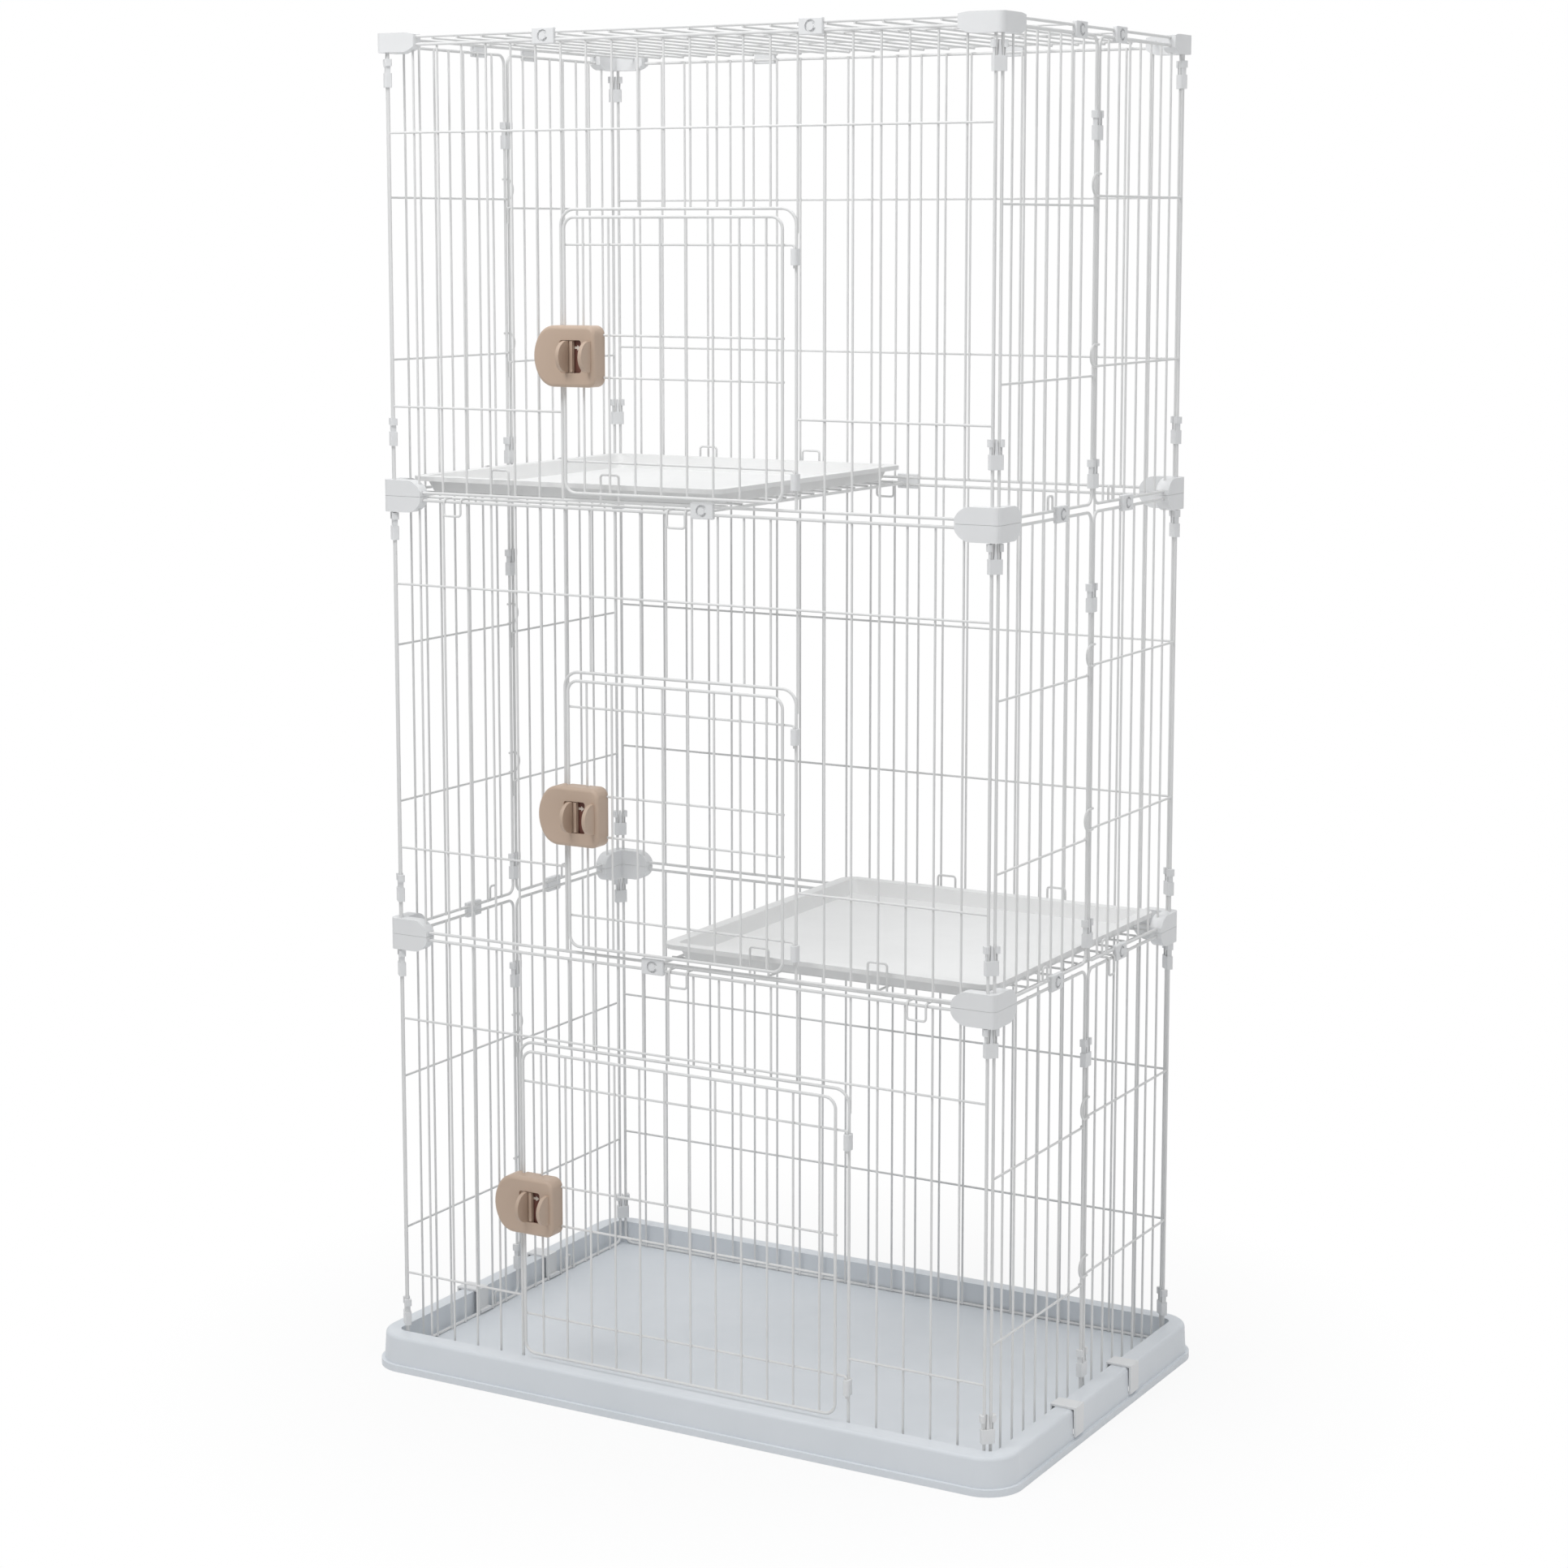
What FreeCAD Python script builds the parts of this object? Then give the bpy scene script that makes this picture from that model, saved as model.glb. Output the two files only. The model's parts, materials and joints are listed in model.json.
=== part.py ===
import FreeCAD, Part
import math
import os
from FreeCAD import Vector

# Three-tier wire pet cage on a plastic pan.
# Millimetres, +Z up, front towards -Y, origin under the middle of the pan.

# Cage
cage_width = 870.0  # between the edge wires of a front panel
cage_depth = 550.0  # between the planes of the front and back panels
tier_height = 576.0  # bottom edge wire to top edge wire of one tier
tier_gap = 10.0  # top edge wire to the bottom edge wire of the next tier
corner_step = 6.0  # a side panel's edge wire stands this far out of and behind the front panel's

# Wire
frame_wire = 4.0  # diameter of edge and doorway wires
mesh_wire = 3.0  # diameter of the wires between them
weld_sink = 0.6  # how far two crossing wires are pressed into each other
frame_bend = 12.0  # bend of an edge wire at a panel's corners, on its centre line
hook_bend = 4.0  # bend of hooks, loops and hinge pins
wire_overrun = 1.0  # end of a wire past the edge wire that it is welded behind
front_gaps = 23  # gaps across a front, back or roof panel
half_gaps = 8  # gaps across half a side

# Crossing wires of the panels, above a tier's bottom edge
front_bar_inset = 111.5  # front panels, from the bottom edge and from the top edge
rear_bars = (172.0, 382.0)  # back panels and half sides with rings
hook_bar_drop = 12.0  # half sides with hooks carry their bars this much lower
roof_bar_inset = 183.0  # roof, from its front edge and from its back edge

# Where two half sides meet
ring_height = 27.0
ring_reach = 24.0
hook_drop = 21.0
wire_clear = 0.3  # gap between wires of different pieces
stop_width = 13.0  # upright loop beside an edge clip
stop_height = 19.0
stop_at = 126.0  # stop loop of a half side with hooks, from the middle of the side

# Doorways and doors: first and last gap line of the doorway, heights above the tier's bottom edge
doorway_bend = 20.0
weld_lap = 10.0  # length over which a wire lies on a doorway's side
front_split = 3.1  # a front panel is parted this far inside its doorway's sides
front_kerf = 0.1
small_door_lines = (7, 16)
large_door_lines = (5, 18)
small_doorway_top = 366.0
large_doorway_top = 457.0
small_door_bottom = 10.0
small_hinge_bars = (50.0, 322.0)
large_hinge_bars = (90.0, 406.0)
small_latch_height = 183.0
large_latch_height = 244.0
latch_bar_spread = 53.0  # between the two door bars that the latch holds
door_top_gap = 10.0  # doorway frame to door frame
door_left_gap = 9.5
door_right_gap = 15.0
door_front_gap = 1.6  # back of a door's bars to the front of the doorway frame
door_over_pan = 6.0  # lowest door frame above the pan's rim

# Hinge sleeves
sleeve_height = 20.0
sleeve_wall = 2.6
sleeve_seat = 0.3  # below the bend of the pin
pin_clear = 0.05
pin_tip = 4.0  # pin below its sleeve

# Latch, measured from the left side of the doorway
latch_left = 25.5
latch_right = 66.5
latch_height = 77.0
latch_bulge = 29.0  # depth of the round left end
latch_corner = 12.0
latch_back_gap = 1.0  # doorway frame to the back of the latch
latch_base_depth = 8.5
latch_cover_depth = 16.5
latch_wall = 2.4
latch_edge_round = 5.0
latch_travel = 9.0
window_left = 15.0
window_right = 47.0
window_height = 41.0
window_corner = 3.5
fin_thickness = 5.0
fin_height = 39.0
fin_reach = 22.0
fin_left = 22.6  # left side of the sliding fin
fixed_fin_left = 56.3
carriage_left = 5.0
carriage_right = 34.1
carriage_height = 44.0
carriage_thickness = 3.0
carriage_tongue = 18.0  # height of the carriage's left end, which carries the bolt
carriage_ridge = 4.0  # width of the ridge along the carriage's right side
slide_clear = 0.3
bolt_left = 18.0
bolt_width = 6.0
bolt_height = 12.0
bolt_plate = 3.0  # thickness of the bolt's nose behind the doorway wire
bolt_side_clear = 1.2  # open bolt to the side of the doorway wire
bolt_back_clear = 0.5  # nose to the back of the doorway wire
indicator_left = 8.0
indicator_right = 52.0
indicator_height = 46.0
arrow_right = 42.5  # tip of the arrow
arrow_length = 9.5
arrow_width = 7.0
arrow_shaft = 3.0
arrow_rise = 0.5
arrow_height = 11.0  # above the middle of the latch

# Corner joints
joint_arm = 60.0
joint_height = 42.0
joint_skin = 8.0  # outer face in front of the panel's plane
joint_depth = 17.0
joint_corner = 9.0
joint_tip = 26.0  # length of the rounded end
joint_tip_height = 14.0
joint_seam = 0.3
joint_clear = 0.2
joint_mitre = 0.1  # between the two arms of a shell
cap_skirt = 9.5  # roof cap below the top edge wire
cap_top = 5.0  # roof cap above the roof's edge wire
cap_tip_step = 2.0  # rounding of the roof cap's upper end

# Post clips
clip_clear = 0.1
post_clip_depth = 9.0
post_clip_height = 18.0
post_clip_fork = 18.0
post_clip_finger = 2.4
post_clip_finger_depth = 6.0
fork_tip = 1.6
corner_clip_drop = 17.5  # top of the upper corner clip below the tier's top edge
corner_clip_rises = (38.0, 38.0, 60.0)  # foot of each tier's lower corner clip above its bottom edge
mid_clip_drop = 90.0
mid_clip_rise = 20.0
mid_clip_over_pan = 8.0  # lowest tier only: foot of the lower middle clip above the pan's rim
clip_round = 1.5

# Edge clips
edge_clip_width = 32.5
edge_clip_skin = 3.6  # plastic in front of the wires
edge_clip_wall = 3.3  # plastic above and below the wires
edge_clip_lip = 1.1  # plastic past the wires' middle
clip_groove = 15.5  # outer diameter of the open ring cut into the front
clip_button = 9.5  # inner diameter of the ring
clip_button_rise = 0.8
groove_depth = 2.6
groove_gap = 4.5  # part of the ring that is left uncut
side_clip_at = 99.0  # clips on the sides, from the middle post
roof_clip_at = 60.0  # clips between a side and the roof

# Pan
pan_height = 48.0
pan_rim = 24.0
pan_wall = 2.5
pan_draft = 2.0
pan_lip = 4.0
pan_lip_height = 9.0
pan_corner = 45.0  # outer corner, at the brim
pan_inner_corner = 12.0
pan_rim_round = 5.0
pan_floor_height = 16.0  # top of the floor that the cage stands on
pan_foot = 90.0  # diameter of the foot under the middle of the floor
pan_front_clear = 1.5  # front panel to the pan's inner wall
pan_side_clear = 5.0  # pan clip's leg to the pan's inner wall
seat_gap = 0.1
pan_clip_window_low = 12.0
pan_clip_window_height = 11.0

# Pan clips
pan_clip_width = 26.0
pan_clip_leg = 1.8
pan_clip_plate = 2.6
pan_clip_catch = 2.0
pan_clip_clear = 0.25

# Shelves
shelf_length = 468.0  # along X, edge wire to edge wire
shelf_side_inset = 14.0  # shelf edge wire inside the side panel
shelf_end_inset = 14.0  # shelf edge wire inside the front and back panels
shelf_rungs = 14
shelf_braces = 3
shelf_hook_width = 26.0
shelf_hook_drop = 22.0
side_hook_width = 16.0
side_hook_drop = 24.0
side_hook_at = 70.0  # from the middle post
keeper_width = 27.0
keeper_height = 39.0
keeper_inset = 150.0  # keeper loops from the shelf's ends
weld_gap = 0.1  # end of a hook or keeper loop to the edge wire that it is welded to
board_overhang = 3.0  # board past the shelf's end wires
board_keeper_gap = 8.0  # board to the keeper loops
board_height = 21.0
board_wall = 2.4
board_lip = 6.0  # height of the board's turned-down edge
board_flange = 14.0  # width of the flat border
board_slope = 8.0
board_corner = 22.0
board_seat = 0.2

# Derived sizes
frame_r = frame_wire / 2
mesh_r = mesh_wire / 2
mesh_y = frame_r + mesh_r - weld_sink  # mesh wires lie this far inside the frame's plane
bar_y = mesh_y - mesh_wire + weld_sink  # crossing bars lie on the mesh wires' outer side
post_gap = corner_step * math.sqrt(2)
side_x = cage_width / 2 + corner_step
front_y = -cage_depth / 2
half_width = cage_depth / 2 - corner_step - post_gap / 2
front_pitch = cage_width / front_gaps
half_pitch = half_width / half_gaps
roof_pitch = 2 * side_x / front_gaps
roof_clip_x = 5 * roof_pitch  # middle of a gap of the roof
base_z = pan_floor_height + seat_gap + frame_r
tier_z = [base_z + tier * (tier_height + tier_gap) for tier in range(3)]
roof_z = tier_z[2] + tier_height + tier_gap
door_y = front_y - frame_r - door_front_gap - mesh_r - mesh_y
door_bar_y = door_y + mesh_y
large_door_bottom = pan_height + door_over_pan + frame_r - base_z
pan_x = side_x + frame_r + clip_clear + pan_clip_leg + pan_side_clear
pan_y = cage_depth / 2 + frame_r + pan_front_clear
pan_clip_y = post_gap / 2 + 2.5 * half_pitch
low_clip_rise = pan_height + mid_clip_over_pan - base_z


def moved(shape, x=0.0, y=0.0, z=0.0, turn=0.0):
    copy = shape.copy()
    if turn:
        copy.rotate(Vector(0, 0, 0), Vector(0, 0, 1), turn)
    copy.translate(Vector(x, y, z))
    return copy


def mirrored(shape, normal):
    return shape.mirror(Vector(0, 0, 0), normal)


def box(x, y, z):
    """Box between the ends given for each axis."""
    size = [high - low for low, high in (x, y, z)]
    return Part.makeBox(*size, Vector(x[0], y[0], z[0]))


def round_box(x, y, z, radius):
    """Box with rounded upright edges."""
    body = box(x, y, z)
    return body.makeFillet(radius, [e for e in body.Edges if e.BoundBox.ZLength > radius])


def soft_box(x, y, z, radius):
    """Box with all its edges rounded."""
    solid = box(x, y, z)
    return solid.makeFillet(radius, solid.Edges)


def joined(shapes):
    whole = shapes[0].multiFuse(shapes[1:])
    return whole.Solids[0] if len(whole.Solids) == 1 else whole


def rod(start, end, diameter):
    axis = end - start
    return Part.makeCylinder(diameter / 2, axis.Length, start, axis)


def bent_wire(points, bend, diameter, closed=False):
    """Round wire through the points, with each corner bent to an arc."""
    corners = points if closed else points[1:-1]
    start = (points[-1] + points[0]) / 2 if closed else points[0]
    route = [start] + corners + [start if closed else points[-1]]
    edges = []
    here = start
    for before, corner, after in zip(route, route[1:], route[2:]):
        back = (before - corner).normalize()
        ahead = (after - corner).normalize()
        middle = (back + ahead).normalize()
        half = back.getAngle(ahead) / 2
        reach = bend / math.tan(half)
        centre = corner + middle * (bend / math.sin(half))
        edges.append(Part.makeLine(here, corner + back * reach))
        arc = Part.Arc(corner + back * reach, centre - middle * bend, corner + ahead * reach)
        edges.append(arc.toShape())
        here = corner + ahead * reach
    edges.append(Part.makeLine(here, route[-1]))
    heading = (corners[0] - start).normalize()
    profile = Part.Wire([Part.Circle(start, heading, diameter / 2).toShape()])
    return Part.Wire(edges).makePipeShell([profile], True, False)


def outline_face(points):
    """Flat face round the points; a pair is an arc through its first point to its second."""
    edges = []
    here = points[0]
    for item in points[1:]:
        if isinstance(item, tuple):
            edges.append(Part.Arc(here, item[0], item[1]).toShape())
            here = item[1]
        else:
            edges.append(Part.makeLine(here, item))
            here = item
    if not here.isEqual(points[0], 1e-6):
        edges.append(Part.makeLine(here, points[0]))
    return Part.Face(Part.Wire(edges))


def rounded_rectangle(half_x, half_y, radius, z):
    """Closed wire of a rectangle about the Z axis with round corners."""
    edges = []
    quarter = math.sqrt(0.5)
    for sx, sy in ((1, 1), (-1, 1), (-1, -1), (1, -1)):
        centre = Vector(sx * (half_x - radius), sy * (half_y - radius), z)
        on_x = centre + Vector(sx * radius, 0, 0)
        on_y = centre + Vector(0, sy * radius, 0)
        bulge = centre + Vector(sx * radius * quarter, sy * radius * quarter, 0)
        first, last = (on_x, on_y) if sx * sy > 0 else (on_y, on_x)
        if edges:
            edges.append(Part.makeLine(edges[-1].Vertexes[-1].Point, first))
        edges.append(Part.Arc(first, bulge, last).toShape())
    edges.append(Part.makeLine(edges[-1].Vertexes[-1].Point, edges[0].Vertexes[0].Point))
    return Part.Wire(edges)


def slab(half_x, half_y, radius, low, high):
    face = Part.Face(rounded_rectangle(half_x, half_y, radius, low))
    return face.extrude(Vector(0, 0, high - low))


def panel_wires(width, height, gaps, bars, doorway=None, grow=0.0):
    """Wires of one panel: lower left corner at the origin, outer face towards -Y."""
    thick = frame_wire + grow
    thin = mesh_wire + grow
    corners = [Vector(0, 0, 0), Vector(width, 0, 0), Vector(width, 0, height), Vector(0, 0, height)]
    wires = [bent_wire(corners, frame_bend, thick, closed=True)]
    first, last, top = doorway if doorway else (gaps, -1, 0.0)
    pitch = width / gaps
    for line in range(1, gaps):
        foot = -wire_overrun
        if first < line < last:
            foot = top - wire_overrun
        elif line in (first, last):
            foot = top - doorway_bend - weld_lap
        x = line * pitch
        wires.append(rod(Vector(x, mesh_y, foot), Vector(x, mesh_y, height + wire_overrun), thin))
    for bar in bars:
        spans = [(0.0, first * pitch), (last * pitch, width)] if bar < top else [(0.0, width)]
        for left, right in spans:
            wires.append(rod(Vector(left, bar_y, bar), Vector(right, bar_y, bar), thin))
    if doorway:
        left = first * pitch
        right = last * pitch
        arch = [Vector(left, 0, 0), Vector(left, 0, top), Vector(right, 0, top), Vector(right, 0, 0)]
        wires.append(bent_wire(arch, doorway_bend, thick))
    return wires


def front_panel(doorway):
    """Front panel in four pieces: both sides of the doorway, above it and below it."""
    bars = (front_bar_inset, tier_height - front_bar_inset)
    panel = joined(panel_wires(cage_width, tier_height, front_gaps, bars, doorway))
    first, last, _ = doorway
    deep = (-frame_bend, frame_bend)
    tall = (-frame_bend, tier_height + frame_bend)
    kerfs = []
    for x in (first * front_pitch + front_split, last * front_pitch - front_split):
        kerfs.append(box((x - front_kerf / 2, x + front_kerf / 2), deep, tall))
    return panel.cut(kerfs).Solids


def stop_loop(x):
    """Upright loop on a panel's bottom edge, centred on x."""
    left = x - stop_width / 2
    right = x + stop_width / 2
    points = [Vector(left, 0, 0), Vector(left, 0, stop_height)]
    points += [Vector(right, 0, stop_height), Vector(right, 0, 0)]
    return bent_wire(points, hook_bend, mesh_wire)


def ring_half():
    """Half side whose bars end in upright rings round the other half's post, at x = 0."""
    out = -(frame_r + mesh_r + wire_clear)
    wires = panel_wires(half_width, tier_height, half_gaps, rear_bars)
    bend = abs(out) / 2
    for bar in rear_bars:
        top = bar + ring_height
        bow = [Vector(0, out, bar), Vector(-ring_reach, out, bar)]
        bow += [Vector(-ring_reach, out, top), Vector(0, out, top)]
        wires.append(bent_wire(bow, ring_height / 2 - wire_clear, mesh_wire))
        for z in (bar, top):
            foot = [Vector(0, 0, z), Vector(0, out, z), Vector(-2 * bend, out, z)]
            wires.append(bent_wire(foot, bend, mesh_wire))
    wires.append(stop_loop(1.5 * half_pitch))
    return joined(wires)


def hook_half():
    """Half side whose bars end in hooks behind the other half's post, at x = half_width."""
    back = frame_r + mesh_r + wire_clear
    bars = [bar - hook_bar_drop for bar in rear_bars]
    wires = panel_wires(half_width, tier_height, half_gaps, bars)
    for bar in bars:
        reach = half_width + post_gap
        points = [Vector(half_width, 0, bar), Vector(half_width, back, bar)]
        points += [Vector(reach, back, bar), Vector(reach, back, bar - hook_drop)]
        wires.append(bent_wire(points, back / 2, mesh_wire))
    wires.append(stop_loop(half_width + post_gap / 2 - stop_at))
    return joined(wires)


def roof_wires(grow=0.0):
    """Wires of the roof, laid flat about z = 0 with the outer face up."""
    bars = (roof_bar_inset, cage_depth - roof_bar_inset)
    wires = panel_wires(2 * side_x, cage_depth, front_gaps, bars, None, grow)
    for wire in wires:
        wire.rotate(Vector(0, 0, 0), Vector(1, 0, 0), -90)
    return [moved(wire, -side_x, front_y) for wire in wires]


def roof_panel():
    """Roof laid flat, outer face up, its edge wires over those of the panels below."""
    return moved(joined(roof_wires()), z=roof_z)


def doorway_sides(lines):
    return tuple(line * front_pitch - cage_width / 2 for line in lines)


def door(lines, doorway_top, bottom, hinge_bars, latch_at):
    """Door at its tier's height, closed, with both hinge pins."""
    jamb_left, jamb_right = doorway_sides(lines)
    left = jamb_left + door_left_gap
    right = jamb_right - door_right_gap
    top = doorway_top - door_top_gap
    corners = [Vector(left, door_y, bottom), Vector(right, door_y, bottom)]
    corners += [Vector(right, door_y, top), Vector(left, door_y, top)]
    wires = [bent_wire(corners, doorway_bend - door_top_gap / 2, frame_wire, closed=True)]
    for line in range(lines[0] + 1, lines[1]):
        x = line * front_pitch - cage_width / 2
        y = door_bar_y - mesh_wire + weld_sink
        wires.append(rod(Vector(x, y, bottom), Vector(x, y, top), mesh_wire))
    for bar in latch_bars(latch_at):
        ends = [Vector(x, door_bar_y, bar) for x in (left - wire_overrun, right + wire_overrun)]
        wires.append(rod(*ends, mesh_wire))
    for bar in hinge_bars:
        low = sleeve_top(bar) - sleeve_height - pin_tip
        points = [Vector(left - wire_overrun, door_bar_y, bar), Vector(jamb_right, door_bar_y, bar)]
        points.append(Vector(jamb_right, door_bar_y, low))
        wires.append(bent_wire(points, hook_bend, mesh_wire))
    return joined(wires)


def latch_bars(latch_at):
    return (latch_at - latch_bar_spread / 2, latch_at + latch_bar_spread / 2)


def sleeve_top(bar):
    return bar - hook_bend - sleeve_seat


def hinge_sleeve(lines, bar):
    """Plastic sleeve clamped on the doorway's right side, with a bore for the door's pin."""
    x = doorway_sides(lines)[1]
    half = frame_r + sleeve_wall
    back = front_y
    front = door_bar_y
    points = [Vector(x - half, front, 0), (Vector(x, front - half, 0), Vector(x + half, front, 0))]
    points += [Vector(x + half, back, 0), (Vector(x, back + half, 0), Vector(x - half, back, 0))]
    body = outline_face(points).extrude(Vector(0, 0, sleeve_height))
    for y, radius in ((back, frame_r + clip_clear), (front, mesh_r + pin_clear)):
        body = body.cut(Part.makeCylinder(radius, sleeve_height, Vector(x, y, 0)))
    return moved(body, z=sleeve_top(bar) - sleeve_height)


def latch_face(inset, y):
    """Latch outline about its own centre height: round on the left, square on the right."""
    left = inset - latch_left
    right = latch_right - inset
    half = latch_height / 2 - inset
    corner = latch_corner - inset
    bend = corner * (1 - math.sqrt(0.5))
    shoulder = latch_bulge - latch_left
    points = [Vector(shoulder, y, -half), Vector(right - corner, y, -half)]
    points.append((Vector(right - bend, y, -half + bend), Vector(right, y, -half + corner)))
    points.append(Vector(right, y, half - corner))
    points.append((Vector(right - bend, y, half - bend), Vector(right - corner, y, half)))
    points.append(Vector(shoulder, y, half))

    def round_end(degrees):
        angle = math.radians(degrees)
        return Vector(shoulder + (left - shoulder) * math.cos(angle), y, half * math.sin(angle))

    points.append((round_end(67.5), round_end(45)))
    points.append((round_end(0), round_end(-45)))
    points.append((round_end(-67.5), points[0]))
    return outline_face(points)


latch_back_y = front_y - frame_r - latch_back_gap
latch_split_y = latch_back_y - latch_base_depth
latch_front_y = latch_split_y - latch_cover_depth
carriage_front_y = latch_front_y + latch_wall + slide_clear
carriage_back_y = carriage_front_y + carriage_thickness
bolt_nose_y = front_y + frame_r + bolt_back_clear


def half_moon(left, root_y):
    """Finger fin standing out of the latch's front."""
    half = fin_height / 2
    tip = latch_front_y - fin_reach
    points = [Vector(left, root_y, -half), Vector(left, latch_front_y, -half)]
    points += [(Vector(left, tip, 0), Vector(left, latch_front_y, half)), Vector(left, root_y, half)]
    return outline_face(points).extrude(Vector(fin_thickness, 0, 0))


def latch_cover():
    """Front shell with the finger window and the fixed fin."""
    solid = latch_face(0.0, latch_split_y).extrude(Vector(0, -latch_cover_depth, 0))
    rim = [e for e in solid.Edges if e.BoundBox.YMax < latch_front_y + 1e-6]
    solid = solid.makeFillet(latch_edge_round, rim)
    hollow = latch_face(latch_wall, latch_split_y)
    solid = solid.cut(hollow.extrude(Vector(0, latch_wall - latch_cover_depth, 0)))
    half = window_height / 2
    through = (latch_front_y - 1, latch_front_y + latch_wall + 1)
    window = box((window_left, window_right), through, (-half, half))
    corners = [e for e in window.Edges if e.BoundBox.YLength > latch_wall]
    window = window.makeFillet(window_corner, corners)
    fin = half_moon(fixed_fin_left, latch_front_y + latch_wall / 2)
    return joined([solid.cut(window), fin])


def latch_base():
    """Back plate, slotted for the door wires that it grips and for the bolt."""
    plate = latch_face(0.0, latch_split_y).extrude(Vector(0, latch_base_depth, 0))
    tall = (-latch_height, latch_height)
    edge = frame_r + clip_clear
    mesh = mesh_r + clip_clear
    behind = latch_back_y + 1
    plate = plate.cut(
        box((door_left_gap - edge, door_left_gap + edge), (door_y - edge, behind), tall)
    )
    infill_y = door_bar_y - mesh_wire + weld_sink
    x = front_pitch
    plate = plate.cut(box((x - mesh, x + mesh), (infill_y - mesh, behind), tall))
    for bar in latch_bars(0.0):
        reach = (door_left_gap - wire_overrun - clip_clear, latch_right + 1)
        plate = plate.cut(box(reach, (door_bar_y - mesh, behind), (bar - mesh, bar + mesh)))
    slot = (-bolt_left - slide_clear, -bolt_left + bolt_width + latch_travel + slide_clear)
    half = bolt_height / 2 + slide_clear
    return plate.cut(box(slot, (latch_split_y - 1, behind), (-half, half)))


def latch_slider():
    """Carriage behind the window with the fin that is pushed."""
    half = carriage_height / 2
    thick = (carriage_front_y, carriage_back_y)
    plate = soft_box((-carriage_left, carriage_right), thick, (-half, half), slide_clear)
    half = carriage_tongue / 2
    tongue = box((-bolt_left, slide_clear - carriage_left), thick, (-half, half))
    half = (window_height - latch_wall) / 2
    along = (carriage_right - carriage_ridge - slide_clear, carriage_right - slide_clear)
    deep = (latch_front_y + slide_clear, carriage_front_y + carriage_thickness / 2)
    ridge = box(along, deep, (-half, half))
    return joined([plate, tongue, ridge, half_moon(fin_left, carriage_front_y + carriage_thickness / 2)])


def latch_bolt():
    """Hook that passes beside the doorway's side and slides behind it."""
    half = bolt_height / 2
    stem = (-bolt_left, -bolt_left + bolt_width)
    nose = (-bolt_left, -frame_r - bolt_side_clear)
    back = bolt_nose_y + bolt_plate
    shank = box(stem, (carriage_back_y, back), (-half, half))
    return joined([shank, box(nose, (bolt_nose_y, back), (-half, half))])


def latch_indicator():
    """Block behind the carriage, with a raised arrow the way the fin is pushed."""
    half = indicator_height / 2
    front = carriage_back_y + slide_clear + arrow_rise
    plate = box((indicator_left, indicator_right), (front, latch_split_y), (-half, half))
    tip = arrow_right
    neck = tip - arrow_length / 2
    tail = tip - arrow_length
    wide = arrow_width / 2
    slim = arrow_shaft / 2
    ends = ((tip, 0), (neck, wide), (neck, slim), (tail, slim), (tail, -slim), (neck, -slim), (neck, -wide))
    face = outline_face([Vector(x, front, arrow_height + z) for x, z in ends])
    arrow = face.extrude(Vector(0, -arrow_rise, 0))
    return joined([plate, arrow])


def joint_outline(low, high, low_tip, high_tip):
    """Side view of a joint's arm, as (distance from the corner, height) points and arcs."""
    start = joint_arm - joint_tip
    bulge = joint_arm - joint_tip * 0.25
    return [
        (-1.0, low),
        (start, low),
        ((bulge, low + (low_tip - low) * 0.4), (joint_arm, low_tip)),
        (joint_arm, high_tip),
        ((bulge, high + (high_tip - high) * 0.4), (start, high)),
        (-1.0, high),
    ]


def joint_body(low, high, low_tip, high_tip):
    """Right front corner block between two heights, rounded off towards its ends."""
    x = side_x + joint_skin
    y = front_y - joint_skin
    bend = joint_corner * (1 - math.sqrt(0.5))
    plan = [Vector(x - joint_arm, y, low), Vector(x - joint_corner, y, low)]
    plan.append((Vector(x - bend, y + bend, low), Vector(x, y + joint_corner, low)))
    plan += [Vector(x, y + joint_arm, low), Vector(x - joint_depth, y + joint_arm, low)]
    plan += [Vector(x - joint_depth, y + joint_depth, low), Vector(x - joint_arm, y + joint_depth, low)]
    body = outline_face(plan).extrude(Vector(0, 0, high - low))
    shape = joint_outline(low, high, low_tip, high_tip)

    def placed(point, along_x):
        if isinstance(point[0], tuple):
            return tuple(placed(p, along_x) for p in point)
        s, z = point
        return Vector(x - s, y - 1, z) if along_x else Vector(x - joint_arm - 1, y + s, z)

    sweep = joint_arm + 2
    front = outline_face([placed(p, True) for p in shape]).extrude(Vector(0, sweep, 0))
    side = outline_face([placed(p, False) for p in shape]).extrude(Vector(sweep, 0, 0))
    return body.common(front).common(side)


def corner_wires(upper):
    """Wires that meet at the right front corner, grown by the joint's clearance."""
    grow = 2 * joint_clear
    front = panel_wires(cage_width, tier_height, front_gaps, (), None, grow)
    side = panel_wires(half_width, tier_height, half_gaps, (), None, grow)
    z = tier_gap if upper else -tier_height
    placed = [moved(w, -cage_width / 2, front_y, z) for w in front]
    placed += [moved(w, side_x, front_y + corner_step, z, turn=90) for w in side]
    return placed


def arms(body, wires):
    """Front and side arm of a right front corner block, with room for the wires."""
    near = [w for w in wires if w.BoundBox.intersect(body.BoundBox)]
    body = body.cut(near)
    split = joint_mitre / math.sqrt(2)
    reach = 2 * joint_arm
    z = body.BoundBox.ZMin
    tall = Vector(0, 0, body.BoundBox.ZLength)
    front = ((reach - split, reach), (-reach, reach), (-reach, split - reach))
    side = ((reach, reach - split), (reach, -reach), (split - reach, -reach))
    halves = []
    for triangle in (front, side):
        outline = [Vector(side_x + x, front_y - y, z) for x, y in triangle]
        halves.append(body.common(outline_face(outline).extrude(tall)))
    return halves


def four_corners(shapes):
    """Right front corner pieces and their copies on the other three corners."""
    right = shapes + [mirrored(s, Vector(0, 1, 0)) for s in shapes]
    return right + [mirrored(s, Vector(1, 0, 0)) for s in right]


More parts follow.
